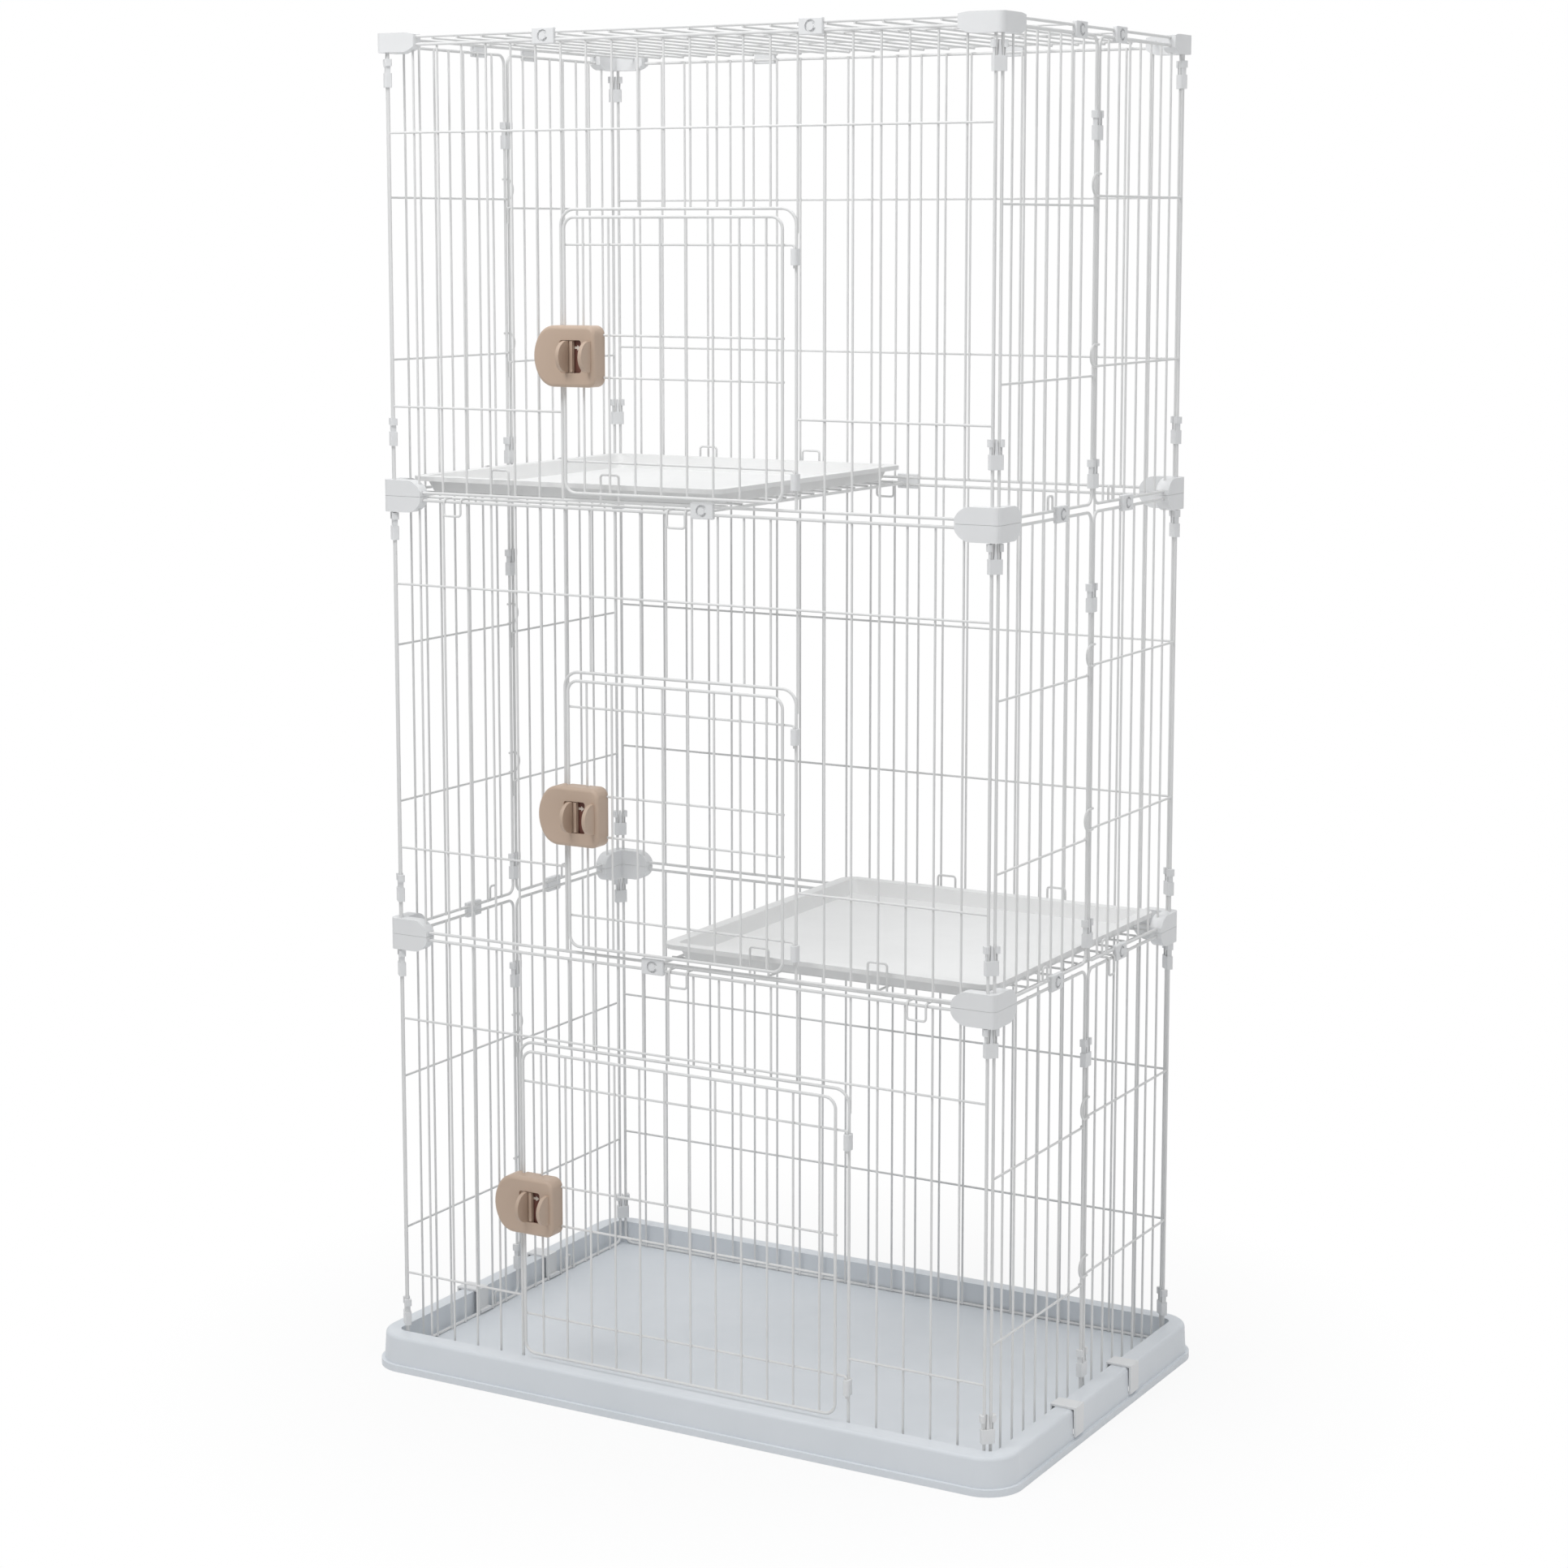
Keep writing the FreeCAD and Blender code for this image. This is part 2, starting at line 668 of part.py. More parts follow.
def corner_joint():
    """Lower and upper shell of one corner block, about the lower tier's top edge wire."""
    middle = tier_gap / 2
    half = joint_height / 2
    tip = joint_tip_height / 2
    low = joint_body(middle - half, middle + half, middle - tip, middle + tip)
    reach = (side_x - 2 * joint_arm, side_x + joint_arm), (front_y - joint_arm, front_y + 2 * joint_arm)
    under = low.common(box(*reach, (middle - joint_height, middle - joint_seam / 2)))
    over = low.common(box(*reach, (middle + joint_seam / 2, middle + joint_height)))
    wires = corner_wires(False) + corner_wires(True)
    return arms(under, wires), arms(over, wires)


def roof_cap():
    """Corner cap over the roof, about the top tier's top edge wire."""
    top = tier_gap + cap_top
    body = joint_body(-cap_skirt, top, joint_tip_height / 2 - cap_skirt, top - cap_tip_step)
    wires = [moved(wire, z=tier_gap) for wire in roof_wires(2 * joint_clear)]
    return arms(body, wires + corner_wires(False))


def post_clip():
    """Clip on two posts: a block with two bores, a wedge between the posts and two fingers."""
    reach = post_gap / 2 + frame_r + clip_clear
    wide = reach + post_clip_finger
    deep = post_clip_depth / 2
    solid = round_box((-wide, wide), (-deep, deep), (0, post_clip_height), clip_round)
    top = post_clip_height + post_clip_fork
    root = post_gap / 2 - frame_r - clip_clear
    wedge = [Vector(-root, 0, 0), Vector(root, 0, 0), Vector(fork_tip / 2, 0, post_clip_fork)]
    wedge.append(Vector(-fork_tip / 2, 0, post_clip_fork))
    depth = post_clip_finger_depth
    prong = outline_face(wedge).extrude(Vector(0, depth, 0))
    pieces = [solid, moved(prong, y=-depth / 2, z=post_clip_height)]
    for side in (-1, 1):
        root = sorted((side * reach, side * (wide - clip_round)))
        pieces.append(box(root, (-depth / 2, depth / 2), (post_clip_height - 1, top - clip_round)))
        pad = sorted((side * (reach - clip_round), side * (wide + post_clip_finger / 2)))
        pieces.append(round_box(pad, (-deep, deep), (top - post_clip_fork / 2, top), clip_round))
    clip = joined(pieces)
    for side in (-1, 1):
        at = Vector(side * post_gap / 2, 0, -1)
        clip = clip.cut(Part.makeCylinder(frame_r + clip_clear, top + 2, at))
    return clip


def post_clips(clip, corner_rise, mid_rise):
    """All clips of one tier, with the tier's bottom edge at z = 0."""
    tall = post_clip_height + post_clip_fork
    heights = (corner_rise, tier_height - corner_clip_drop - tall)
    clips = []
    for z in heights:
        x = (cage_width / 2 + side_x) / 2
        y = front_y + corner_step / 2
        clips += four_corners([moved(clip, x, y, z, turn=45)])
    for z in (mid_rise, tier_height - mid_clip_drop - tall):
        right = moved(clip, side_x, 0, z, turn=90)
        clips += [right, mirrored(right, Vector(1, 0, 0))]
    return clips


def edge_clip():
    """Clip on two edge wires that lie one above the other, with an open ring cut into its front."""
    half = edge_clip_width / 2
    wall = frame_r + edge_clip_wall
    face = -(frame_r + edge_clip_skin)
    clip = soft_box((-half, half), (face, edge_clip_lip), (-wall, tier_gap + wall), clip_round)
    outward = Vector(0, -1, 0)
    floor = Vector(0, face + groove_depth, tier_gap / 2)
    groove = Part.makeCylinder(clip_groove / 2, groove_depth + 1, floor, outward)
    groove = groove.cut(Part.makeCylinder(clip_button / 2, groove_depth + 1, floor, outward))
    low = (tier_gap - groove_gap) / 2
    groove = groove.cut(box((0, clip_groove), (face - 2, 0), (low, low + groove_gap)))
    button = Part.makeCylinder(clip_button / 2, groove_depth + clip_button_rise, floor, outward)
    clip = joined([clip.cut(groove), button])
    for z in (0, tier_gap):
        clip = clip.cut(rod(Vector(-half - 1, 0, z), Vector(half + 1, 0, z), frame_wire + 2 * clip_clear))
    return clip


def edge_clips(clip, front_at, side_at):
    """Clips round one level, on the front, the back and both sides."""
    clips = []
    for x in front_at:
        front = moved(clip, x, front_y)
        clips += [front, mirrored(front, Vector(0, 1, 0))]
    for y in (-side_at, side_at):
        right = moved(clip, side_x, y, turn=90)
        clips += [right, mirrored(right, Vector(1, 0, 0))]
    return clips


def front_gap_x(gap):
    """Middle of a gap between front wires, counted from the left."""
    return (gap + 0.5) * front_pitch - cage_width / 2


def pan_side_x(z):
    """Outer face of the pan's long wall at a height."""
    return pan_x + pan_rim + pan_draft * (pan_height - z) / pan_height


def pan():
    """Shallow pan: flat floor, hollow rim with a lip at its foot, and a foot under the middle."""
    outer_x = pan_x + pan_rim
    outer_y = pan_y + pan_rim
    foot = rounded_rectangle(outer_x + pan_draft, outer_y + pan_draft, pan_corner, 0.0)
    brim = rounded_rectangle(outer_x, outer_y, pan_corner, pan_height)
    body = Part.makeLoft([foot, brim], True, True)
    brim_edges = [e for e in body.Edges if e.BoundBox.ZMin > pan_height - 1e-6]
    body = body.makeFillet(pan_rim_round, brim_edges)
    lip = pan_lip + pan_draft
    body = body.fuse(slab(outer_x + lip, outer_y + lip, pan_corner + pan_lip, 0.0, pan_lip_height))
    body = body.cut(slab(pan_x, pan_y, pan_inner_corner, pan_floor_height, pan_height + 1))
    inside = pan_inner_corner + pan_wall
    wall = slab(pan_x + pan_wall, pan_y + pan_wall, inside, -2, pan_height)
    shell = (outer_x - pan_wall, outer_y - pan_wall, pan_corner - pan_wall)
    rim_hollow = slab(*shell, -1, pan_height - pan_wall).cut(wall)
    floor_hollow = slab(*shell, -1, pan_floor_height - pan_wall)
    body = body.cut([rim_hollow, floor_hollow])
    body = body.fuse(Part.makeCylinder(pan_foot / 2, pan_floor_height - pan_wall / 2))
    for window in four_corners([pan_window()]):
        body = body.cut(window)
    return body.removeSplitter()


def pan_window():
    """Opening in the pan's outer wall that takes a pan clip's catch."""
    half = pan_clip_width / 2 + pan_clip_clear
    high = pan_clip_window_low + pan_clip_window_height
    reach = (pan_x + pan_rim - pan_wall - 1, pan_x + pan_rim + pan_draft + 1)
    return box(reach, (-pan_clip_y - half, half - pan_clip_y), (pan_clip_window_low, high))


def pan_clip():
    """Clip from the lowest edge wire over the pan's rim into the outer wall."""
    near = side_x + frame_r + clip_clear
    far = side_x - frame_r - clip_clear
    over = base_z + frame_r + clip_clear
    top = pan_height + pan_clip_clear
    crown = top + pan_clip_plate
    catch_low = pan_clip_window_low + pan_clip_clear
    face = pan_side_x(catch_low) + pan_clip_clear
    wide = (-pan_clip_y - pan_clip_width / 2, pan_clip_width / 2 - pan_clip_y)
    leg = near + pan_clip_leg
    pieces = [
        box((far - pan_clip_leg, far), wide, (base_z, over + pan_clip_leg)),
        box((far - pan_clip_leg, leg), wide, (over, over + pan_clip_leg)),
        box((near, leg), wide, (over, crown)),
        box((near, face + pan_clip_plate), wide, (top, crown)),
        box((face, face + pan_clip_plate), wide, (catch_low, crown)),
        box((face - pan_clip_catch, face + pan_clip_plate), wide, (catch_low, catch_low + pan_clip_plate)),
    ]
    return joined(pieces)


def shelf_hook(x):
    """Hook over the front edge wires, from the shelf's edge wire, about the shelf's height."""
    out = front_y - frame_r - mesh_r - wire_clear
    root = front_y + shelf_end_inset - frame_r - weld_gap
    left = x - shelf_hook_width / 2
    right = x + shelf_hook_width / 2
    points = [Vector(left, root, 0), Vector(left, out, 0), Vector(left, out, -shelf_hook_drop)]
    points += [Vector(right, out, -shelf_hook_drop), Vector(right, out, 0), Vector(right, root, 0)]
    return bent_wire(points, hook_bend, mesh_wire)


def side_hook(y):
    """Hook over the right side's edge wires, from the shelf's edge wire."""
    out = side_x + frame_r + mesh_r + wire_clear
    root = side_x - shelf_side_inset + frame_r + weld_gap
    near = y - side_hook_width / 2
    far = y + side_hook_width / 2
    points = [Vector(root, near, 0), Vector(out, near, 0), Vector(out, near, -side_hook_drop)]
    points += [Vector(out, far, -side_hook_drop), Vector(out, far, 0), Vector(root, far, 0)]
    return bent_wire(points, hook_bend, mesh_wire)


def keeper(x):
    """Upright loop on the shelf's front edge wire that keeps the board in place."""
    y = front_y + shelf_end_inset
    left = x - keeper_width / 2
    right = x + keeper_width / 2
    foot = frame_r + weld_gap
    points = [Vector(left, y, foot), Vector(left, y, keeper_height)]
    points += [Vector(right, y, keeper_height), Vector(right, y, foot)]
    return bent_wire(points, hook_bend, mesh_wire)


def shelf_ends():
    """Left and right edge wire of the shelf for the right side."""
    right = side_x - shelf_side_inset
    return right - shelf_length, right


def shelf_net():
    """Flat wire shelf for the right side, about the height of its edge wire."""
    left, right = shelf_ends()
    near = front_y + shelf_end_inset
    far = -near
    corners = [Vector(left, near, 0), Vector(right, near, 0), Vector(right, far, 0), Vector(left, far, 0)]
    wires = [bent_wire(corners, frame_bend, frame_wire, closed=True)]
    for rung in range(1, shelf_rungs):
        y = near + (far - near) * rung / shelf_rungs
        ends = [Vector(x, y, mesh_y) for x in (left - wire_overrun, right + wire_overrun)]
        wires.append(rod(*ends, mesh_wire))
    for brace in range(1, shelf_braces):
        x = left + shelf_length * brace / shelf_braces
        ends = [Vector(x, y, bar_y) for y in (near, far)]
        wires.append(rod(*ends, mesh_wire))
    return joined(wires)


def shelf_loops():
    """Hooks that hang the shelf on the edge wires below it, and keepers for its board."""
    left, right = shelf_ends()
    loops = [shelf_hook(front_gap_x(gap)) for gap in (front_gaps // 2, front_gaps - 3)]
    loops += [keeper(x) for x in (left + keeper_inset, right - keeper_inset)]
    loops += [mirrored(loop, Vector(0, 1, 0)) for loop in loops]
    return loops + [side_hook(side_hook_at)]


def shelf_board():
    """Tapered plastic tray with a flat border and a turned-down edge, on the shelf's rungs."""
    left, right = shelf_ends()
    half_x = (right - left) / 2 + board_overhang
    half_y = -front_y - shelf_end_inset - mesh_r - board_keeper_gap
    low = mesh_y + mesh_r + board_seat
    high = low + board_height
    wall_x = half_x - board_flange
    wall_y = half_y - board_flange
    turn = board_corner - board_flange

    def bowl(shrink, bottom, top):
        foot = rounded_rectangle(wall_x - shrink - board_slope, wall_y - shrink - board_slope, turn, bottom)
        brim = rounded_rectangle(wall_x - shrink, wall_y - shrink, turn, top)
        return Part.makeLoft([foot, brim], True, True)

    inset = board_wall
    border = slab(half_x, half_y, board_corner, high - board_lip, high)
    border = border.cut(slab(half_x - inset, half_y - inset, board_corner - inset, low, high - board_wall))
    body = bowl(0.0, low, high).fuse(border)
    body = body.cut(bowl(board_wall, low + board_wall, high + 0.01))
    return moved(body.removeSplitter(), (left + right) / 2)


def export(name, shapes):
    """Write one sub-part; several equal pieces share a file as separate solids."""
    shape = shapes[0] if len(shapes) == 1 else Part.makeCompound(shapes)
    solids = len(shape.Solids)
    print(name, "solids", solids, "valid", shape.isValid(), "cm3", round(shape.Volume / 1000, 2))
    shape.exportStep("parts/" + name + ".step")


def build():
    os.makedirs("parts", exist_ok=True)
    tiers = ("bottom", "middle", "top")
    small_doorway = (*small_door_lines, small_doorway_top)
    large_doorway = (*large_door_lines, large_doorway_top)
    small_front = front_panel(small_doorway)
    large_front = front_panel(large_doorway)
    fronts = [large_front, small_front, small_front]
    back = joined(panel_wires(cage_width, tier_height, front_gaps, rear_bars))
    rings = ring_half()
    hooks = hook_half()
    clip = post_clip()
    mid_rises = (low_clip_rise, mid_clip_rise, mid_clip_rise)
    rises = zip(corner_clip_rises, mid_rises)
    for name, z, front, clip_rises in zip(tiers, tier_z, fronts, rises):
        export("front_panel_" + name, [moved(s, -cage_width / 2, front_y, z) for s in front])
        export("back_panel_" + name, [moved(back, cage_width / 2, -front_y, z, turn=180)])
        right_rear = moved(rings, side_x, post_gap / 2, z, turn=90)
        right_front = moved(hooks, side_x, front_y + corner_step, z, turn=90)
        left_front = moved(rings, -side_x, -post_gap / 2, z, turn=-90)
        left_rear = moved(hooks, -side_x, -front_y - corner_step, z, turn=-90)
        export("side_right_rear_" + name, [right_rear])
        export("side_right_front_" + name, [right_front])
        export("side_left_front_" + name, [left_front])
        export("side_left_rear_" + name, [left_rear])
        clips = post_clips(clip, *clip_rises)
        export("post_clips_" + name, [moved(c, z=z) for c in clips])
    export("roof_panel", [roof_panel()])

    small_door = (small_door_lines, small_doorway_top, small_door_bottom, small_hinge_bars)
    large_door = (large_door_lines, large_doorway_top, large_door_bottom, large_hinge_bars)
    leaves = [large_door, small_door, small_door]
    latch_heights = [large_latch_height, small_latch_height, small_latch_height]
    cover = latch_cover()
    for name, z, leaf, latch_at in zip(tiers, tier_z, leaves, latch_heights):
        lines, _, _, hinge_bars = leaf
        jamb = doorway_sides(lines)[0]
        export("door_" + name, [moved(door(*leaf, latch_at), z=z)])
        export("hinge_sleeves_" + name, [moved(hinge_sleeve(lines, bar), z=z) for bar in hinge_bars])
        latch = {
            "cover": cover,
            "base": latch_base(),
            "slider": latch_slider(),
            "bolt": latch_bolt(),
            "indicator": latch_indicator(),
        }
        for piece, shape in latch.items():
            export("latch_" + piece + "_" + name, [moved(shape, x=jamb, z=z + latch_at)])

    under, over = corner_joint()
    fastener = edge_clip()
    seams = [tier_z[0] + tier_height, tier_z[1] + tier_height]
    middle_gap = front_gaps // 2
    for name, z, gap in zip(("lower", "upper"), seams, (middle_gap - 1, middle_gap + 1)):
        export("corner_sockets_" + name, [moved(s, z=z) for s in four_corners(under)])
        export("corner_covers_" + name, [moved(s, z=z) for s in four_corners(over)])
        clips = edge_clips(fastener, [front_gap_x(gap)], side_clip_at)
        export("edge_clips_" + name, [moved(c, z=z) for c in clips])
    top_edge = tier_z[2] + tier_height
    export("corner_caps_roof", [moved(s, z=top_edge) for s in four_corners(roof_cap())])
    clips = edge_clips(fastener, (-roof_clip_x, roof_clip_x), roof_clip_at)
    export("edge_clips_roof", [moved(c, z=top_edge) for c in clips])

    export("pan", [pan()])
    export("pan_clips", four_corners([pan_clip()]))
    shelf = {"net": [shelf_net()], "loops": shelf_loops(), "board": [shelf_board()]}
    shelf_rise = frame_r + mesh_r + wire_clear
    for name, z, turn in zip(("lower", "upper"), seams, (0, 180)):
        for piece, shapes in shelf.items():
            export("shelf_" + piece + "_" + name, [moved(s, z=z + shelf_rise, turn=turn) for s in shapes])


build()
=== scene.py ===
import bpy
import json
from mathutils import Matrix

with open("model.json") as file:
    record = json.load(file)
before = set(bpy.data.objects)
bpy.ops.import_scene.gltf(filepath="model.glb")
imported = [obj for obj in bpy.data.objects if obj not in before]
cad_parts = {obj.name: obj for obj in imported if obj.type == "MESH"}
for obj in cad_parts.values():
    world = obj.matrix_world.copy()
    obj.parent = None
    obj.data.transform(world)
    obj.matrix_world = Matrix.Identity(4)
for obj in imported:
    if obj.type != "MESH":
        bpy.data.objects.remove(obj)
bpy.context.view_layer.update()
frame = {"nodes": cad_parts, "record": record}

import json
import math

import bpy
from mathutils import Vector

NODES = frame["nodes"]
SLOT_OF = {s["node"]: s["material_slot"] for s in frame["record"]["subparts"]}

# Lengths in metres, lamps in watts, angles in degrees.
WHITE = (1.0, 1.0, 1.0, 1.0)
SKY_COLOR = (0.97, 0.985, 1.0, 1.0)
SKY_STRENGTH = 0.95  # straight above; falls to nothing at the horizon

FLOOR_HALF = 40.0  # half the floor's width
FLOOR_DROP = 0.0005  # how far the floor lies below the pan
FLOOR_TONES = (0.84, 0.84, 0.84), (0.86, 0.86, 0.86)
SHADOW_NEAR, SHADOW_FAR = 0.45, 0.9  # distance from the middle over which the shadow fades
SHADOW_GLOW = 0.86  # how white the floor looks where the shadow is

# Each lamp: name, place, what it points at, size, power.
LAMPS = (
    ("key", (-0.4, -2.0, 3.1), (0.0, -0.1, 0.8), (1.5, 1.0), 31.0),
    ("right", (3.6, -1.0, 2.4), (0.0, 0.0, 0.9), (1.8, 1.8), 17.0),
    ("top", (0.0, 0.0, 3.6), (0.0, 0.0, 0.5), (1.5, 1.5), 16.0),
)

SENSOR_MM, LENS_MM = 36.0, 73.45
CAMERA_PLACE = (2.0830, -3.6630, 1.5288)
CAMERA_YAW, CAMERA_PITCH = 29.67, 7.61
CAMERA_SHIFT = -0.08
CLIP_NEAR, CLIP_FAR = 0.1, 200.0

ARROW_RISE = 0.00025  # depth behind the arrow's face that still belongs to the arrow


class Graph:
    """A material's node tree, with short calls to add nodes and join sockets."""

    def __init__(self, name):
        self.material = bpy.data.materials.new(name)
        self.material.use_nodes = True
        self.tree = self.material.node_tree
        self.tree.nodes.clear()
        self.out = self.tree.nodes.new("ShaderNodeOutputMaterial")

    def add(self, kind, **settings):
        node = self.tree.nodes.new(kind)
        for key, value in settings.items():
            setattr(node, key, value)
        return node

    def join(self, source, target):
        self.tree.links.new(source, target)

    def place(self):
        return self.add("ShaderNodeTexCoord").outputs["Object"]

    def noise(self, scale, detail=2.0, roughness=0.5):
        node = self.add("ShaderNodeTexNoise")
        node.inputs["Scale"].default_value = scale
        node.inputs["Detail"].default_value = detail
        node.inputs["Roughness"].default_value = roughness
        self.join(self.place(), node.inputs["Vector"])
        return node.outputs["Fac"]

    def ramp(self, value, low, high, low_at=0.3, high_at=0.7):
        """Colour that goes from low to high as the value does."""
        node = self.add("ShaderNodeValToRGB")
        ends = node.color_ramp.elements
        ends[0].position, ends[1].position = low_at, high_at
        ends[0].color, ends[1].color = (*low, 1.0), (*high, 1.0)
        self.join(value, node.inputs["Fac"])
        return node.outputs["Color"]

    def span(self, value, low, high, low_at=0.3, high_at=0.7):
        """Number that goes from low to high as the value does."""
        node = self.add("ShaderNodeMapRange")
        node.inputs["From Min"].default_value = low_at
        node.inputs["From Max"].default_value = high_at
        node.inputs["To Min"].default_value = low
        node.inputs["To Max"].default_value = high
        self.join(value, node.inputs["Value"])
        return node.outputs["Result"]

    def bump(self, height, strength, distance, after=None):
        node = self.add("ShaderNodeBump")
        node.inputs["Strength"].default_value = strength
        node.inputs["Distance"].default_value = distance
        self.join(height, node.inputs["Height"])
        if after:
            self.join(after, node.inputs["Normal"])
        return node.outputs["Normal"]

    def surface(self, color, roughness, normal, **sockets):
        shader = self.add("ShaderNodeBsdfPrincipled")
        self.join(color, shader.inputs["Base Color"])
        self.join(roughness, shader.inputs["Roughness"])
        self.join(normal, shader.inputs["Normal"])
        for name, value in sockets.items():
            shader.inputs[name.replace("_", " ")].default_value = value
        self.join(shader.outputs["BSDF"], self.out.inputs["Surface"])
        return self.material


def powder_coat():
    """White baked coating on wire: faint orange peel and a slow drift of tone."""
    g = Graph("white_powder_coat")
    drift = g.noise(9.0, detail=3.0)
    peel = g.noise(1400.0)
    wave = g.noise(160.0)
    color = g.ramp(drift, (0.76, 0.76, 0.755), (0.82, 0.82, 0.815))
    waves = g.bump(wave, strength=0.12, distance=0.0004)
    normal = g.bump(peel, strength=0.18, distance=0.0002, after=waves)
    return g.surface(color, g.span(drift, 0.36, 0.48), normal, Specular_IOR_Level=0.3)


def moulded(name, low, high, rough, grain, grain_depth):
    """Moulded plastic: fine spark-eroded grain, slow drift of tone and uneven gloss."""
    g = Graph(name)
    drift = g.noise(7.0, detail=4.0)
    cloud = g.noise(45.0, detail=3.0, roughness=0.6)
    fine = g.noise(grain, roughness=0.6)
    color = g.ramp(drift, low, high)
    clouds = g.bump(cloud, strength=0.06, distance=0.0006)
    normal = g.bump(fine, strength=0.35, distance=grain_depth, after=clouds)
    return g.surface(color, g.span(cloud, *rough), normal)


def dark_plate():
    """Dark indicator plate whose raised arrow is pale."""
    g = Graph("dark_indicator")
    fine = g.noise(1800.0)
    axis = g.add("ShaderNodeSeparateXYZ")
    g.join(g.place(), axis.inputs["Vector"])
    raised = g.add("ShaderNodeMath", operation="LESS_THAN")
    face = min(v.co.y for v in NODES["latch_indicator_top"].data.vertices)
    raised.inputs[1].default_value = face + ARROW_RISE
    g.join(axis.outputs["Y"], raised.inputs[0])
    plate = g.ramp(g.noise(60.0, detail=3.0), (0.15, 0.055, 0.042), (0.19, 0.075, 0.055))
    mix = g.add("ShaderNodeMix", data_type="RGBA")
    g.join(raised.outputs["Value"], mix.inputs["Factor"])
    g.join(plate, mix.inputs["A"])
    mix.inputs["B"].default_value = (0.80, 0.72, 0.64, 1.0)
    normal = g.bump(fine, strength=0.2, distance=0.0002)
    return g.surface(mix.outputs["Result"], g.span(fine, 0.42, 0.55), normal)


MATERIALS = {
    "white_wire": powder_coat(),
    "white_plastic": moulded(
        "white_clip_plastic", low=(0.785, 0.79, 0.795), high=(0.845, 0.85, 0.855),
        rough=(0.38, 0.5), grain=1500.0, grain_depth=0.0003,
    ),
    "pan_plastic": moulded(
        "pale_pan_plastic", low=(0.745, 0.78, 0.815), high=(0.785, 0.815, 0.85),
        rough=(0.36, 0.48), grain=1100.0, grain_depth=0.0003,
    ),
    "board_plastic": moulded(
        "board_plastic", low=(0.83, 0.83, 0.825), high=(0.87, 0.87, 0.865),
        rough=(0.42, 0.55), grain=900.0, grain_depth=0.0004,
    ),
    "beige_plastic": moulded(
        "beige_latch_plastic", low=(0.52, 0.395, 0.305), high=(0.57, 0.435, 0.34),
        rough=(0.40, 0.52), grain=1600.0, grain_depth=0.0003,
    ),
    "brown_plastic": dark_plate(),
}

for name, node in NODES.items():
    for slot in node.material_slots:
        slot.material = MATERIALS[SLOT_OF[name]]


def backdrop_rays(tree):
    """1 for a ray that shows the backdrop: one from the camera, a reflection or a clear piece."""
    path = tree.nodes.new("ShaderNodeLightPath")
    seen = path.outputs["Is Camera Ray"]
    for kind in ("Is Glossy Ray", "Is Transmission Ray"):
        either = tree.nodes.new("ShaderNodeMath")
        either.operation = "MAXIMUM"
        tree.links.new(seen, either.inputs[0])
        tree.links.new(path.outputs[kind], either.inputs[1])
        seen = either.outputs["Value"]
    return seen


def floor_material():
    """Pale floor that looks white, with the cage's soft shadow close to the pan only."""
    g = Graph("pale_floor")
    shader = g.add("ShaderNodeBsdfDiffuse")
    g.join(g.ramp(g.noise(0.8), *FLOOR_TONES), shader.inputs["Color"])
    glow = g.add("ShaderNodeEmission")
    glow.inputs["Strength"].default_value = 1.0
    away = g.add("ShaderNodeVectorMath", operation="LENGTH")
    g.join(g.place(), away.inputs[0])
    fade = g.span(away.outputs["Value"], SHADOW_GLOW, 1.0, SHADOW_NEAR, SHADOW_FAR)
    share = g.add("ShaderNodeMath", operation="MULTIPLY")
    g.join(backdrop_rays(g.tree), share.inputs[0])
    g.join(fade, share.inputs[1])
    mix = g.add("ShaderNodeMixShader")
    g.join(share.outputs["Value"], mix.inputs["Fac"])
    g.join(shader.outputs["BSDF"], mix.inputs[1])
    g.join(glow.outputs["Emission"], mix.inputs[2])
    g.join(mix.outputs["Shader"], g.out.inputs["Surface"])
    return g.material


def make_floor():
    half = FLOOR_HALF
    mesh = bpy.data.meshes.new("floor")
    corners = [(-half, -half, 0), (half, -half, 0), (half, half, 0), (-half, half, 0)]
    mesh.from_pydata(corners, [], [(0, 1, 2, 3)])
    floor = bpy.data.objects.new("floor", mesh)
    floor.location.z = -FLOOR_DROP
    bpy.context.scene.collection.objects.link(floor)
    mesh.materials.append(floor_material())


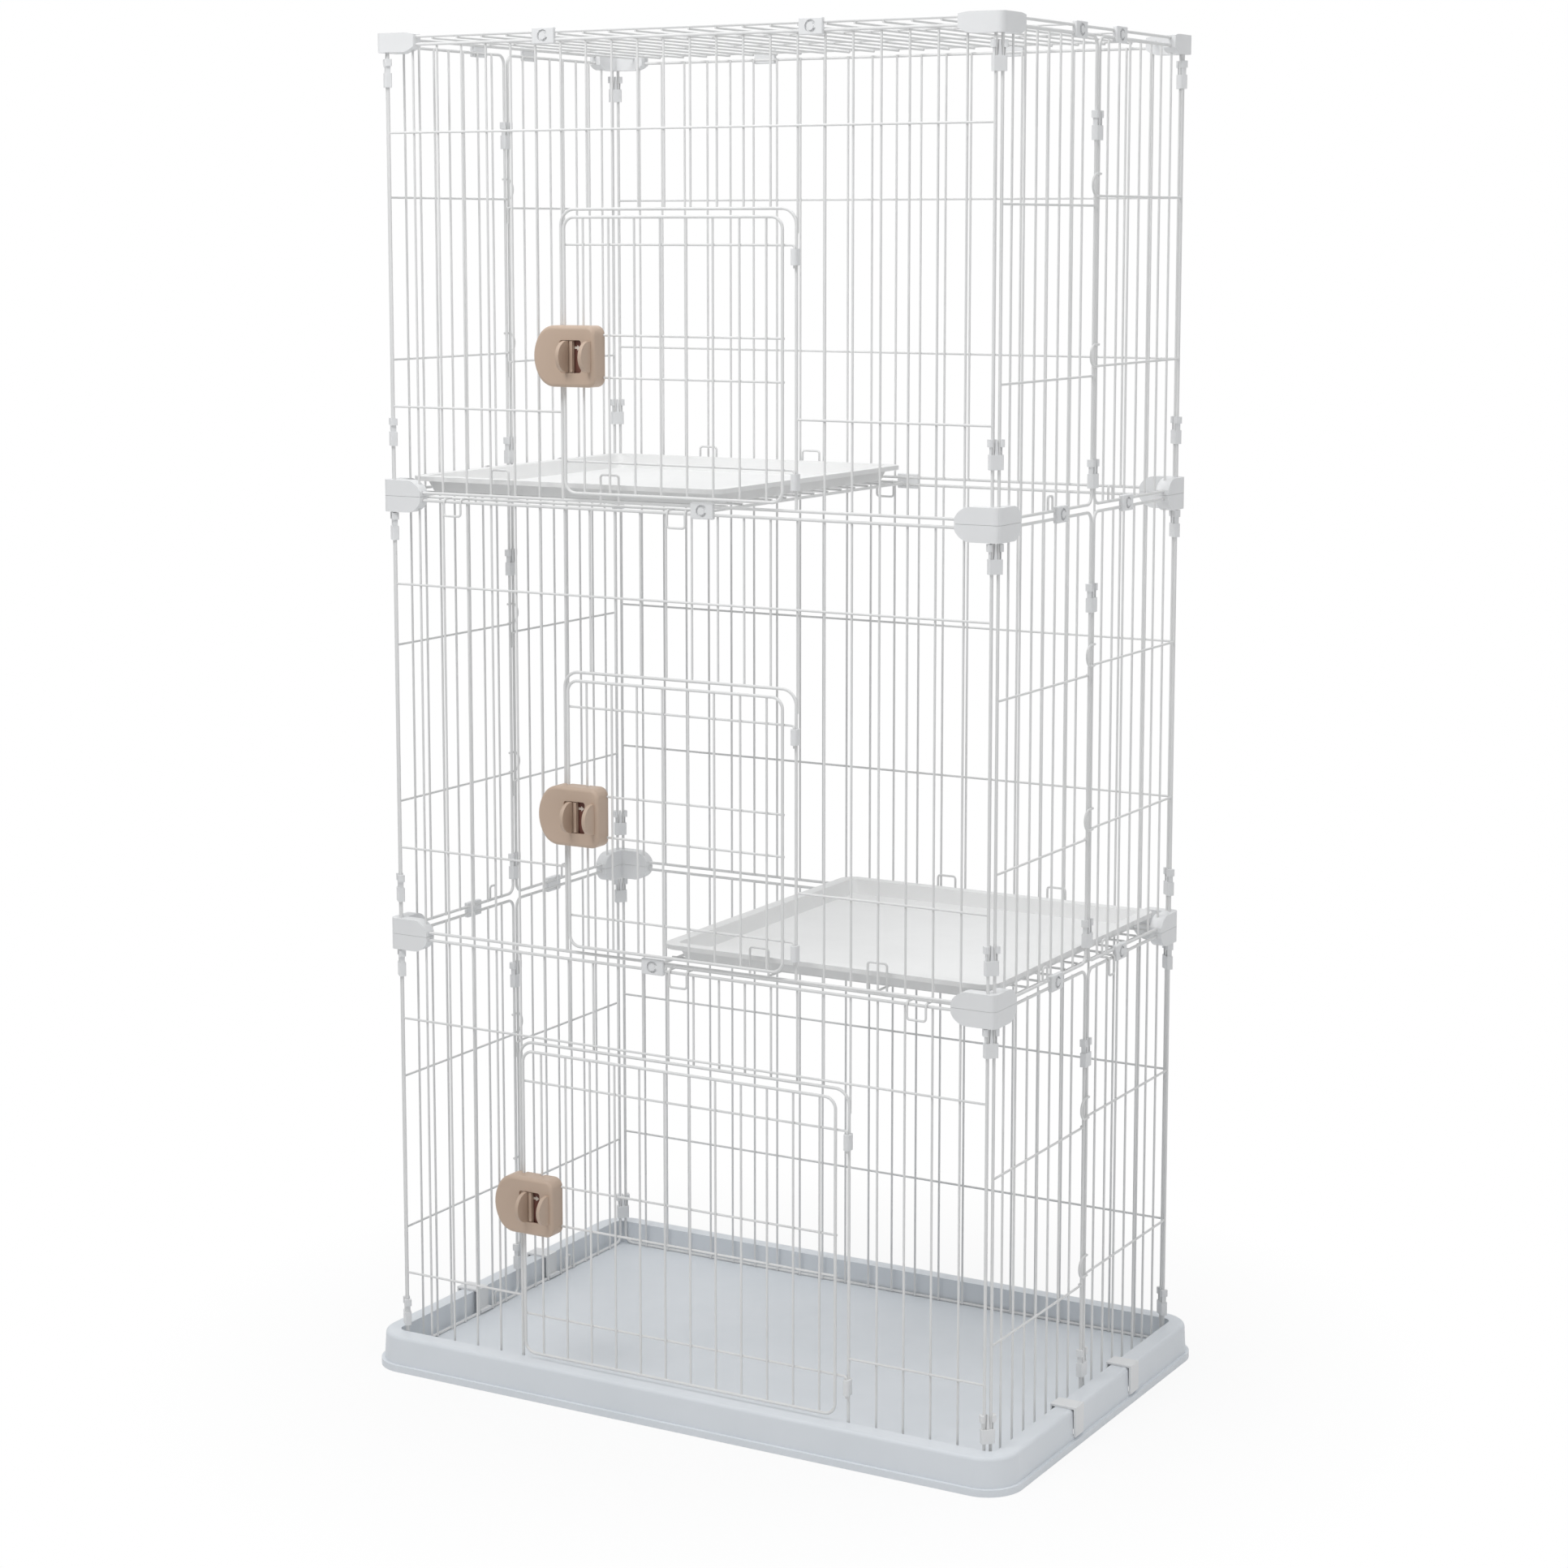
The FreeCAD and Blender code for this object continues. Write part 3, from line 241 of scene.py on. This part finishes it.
def make_world():
    """White backdrop for the camera, soft light from above for the object."""
    world = bpy.data.worlds.new("studio")
    bpy.context.scene.world = world
    world.use_nodes = True
    tree = world.node_tree
    tree.nodes.clear()
    out = tree.nodes.new("ShaderNodeOutputWorld")
    coordinates = tree.nodes.new("ShaderNodeTexCoord")
    axis = tree.nodes.new("ShaderNodeSeparateXYZ")
    tree.links.new(coordinates.outputs["Generated"], axis.inputs["Vector"])
    height = tree.nodes.new("ShaderNodeMapRange")
    height.inputs["To Max"].default_value = SKY_STRENGTH
    tree.links.new(axis.outputs["Z"], height.inputs["Value"])
    soft = tree.nodes.new("ShaderNodeBackground")
    soft.inputs["Color"].default_value = SKY_COLOR
    tree.links.new(height.outputs["Result"], soft.inputs["Strength"])
    white = tree.nodes.new("ShaderNodeBackground")
    white.inputs["Color"].default_value = WHITE
    white.inputs["Strength"].default_value = 1.0
    mix = tree.nodes.new("ShaderNodeMixShader")
    tree.links.new(backdrop_rays(tree), mix.inputs["Fac"])
    tree.links.new(soft.outputs["Background"], mix.inputs[1])
    tree.links.new(white.outputs["Background"], mix.inputs[2])
    tree.links.new(mix.outputs["Shader"], out.inputs["Surface"])


def area_lamp(name, where, target, size, watts):
    data = bpy.data.lights.new(name, "AREA")
    data.shape = "RECTANGLE"
    data.size, data.size_y = size
    data.energy = watts
    lamp = bpy.data.objects.new(name, data)
    bpy.context.scene.collection.objects.link(lamp)
    lamp.location = where
    lamp.rotation_euler = (Vector(target) - Vector(where)).to_track_quat("-Z", "Y").to_euler()


def make_camera():
    """Camera at the photo's angle: from the right of the front, a little above the middle."""
    data = bpy.data.cameras.new("camera")
    data.sensor_width = SENSOR_MM
    data.lens = LENS_MM
    data.shift_y = CAMERA_SHIFT
    data.clip_start, data.clip_end = CLIP_NEAR, CLIP_FAR
    camera = bpy.data.objects.new("camera", data)
    bpy.context.scene.collection.objects.link(camera)
    camera.location = CAMERA_PLACE
    tilt = math.pi / 2 - math.radians(CAMERA_PITCH)
    camera.rotation_euler = (tilt, 0.0, math.radians(CAMERA_YAW))
    bpy.context.scene.camera = camera


make_floor()
make_world()
for lamp in LAMPS:
    area_lamp(*lamp)
make_camera()
bpy.context.scene.view_settings.view_transform = "Standard"
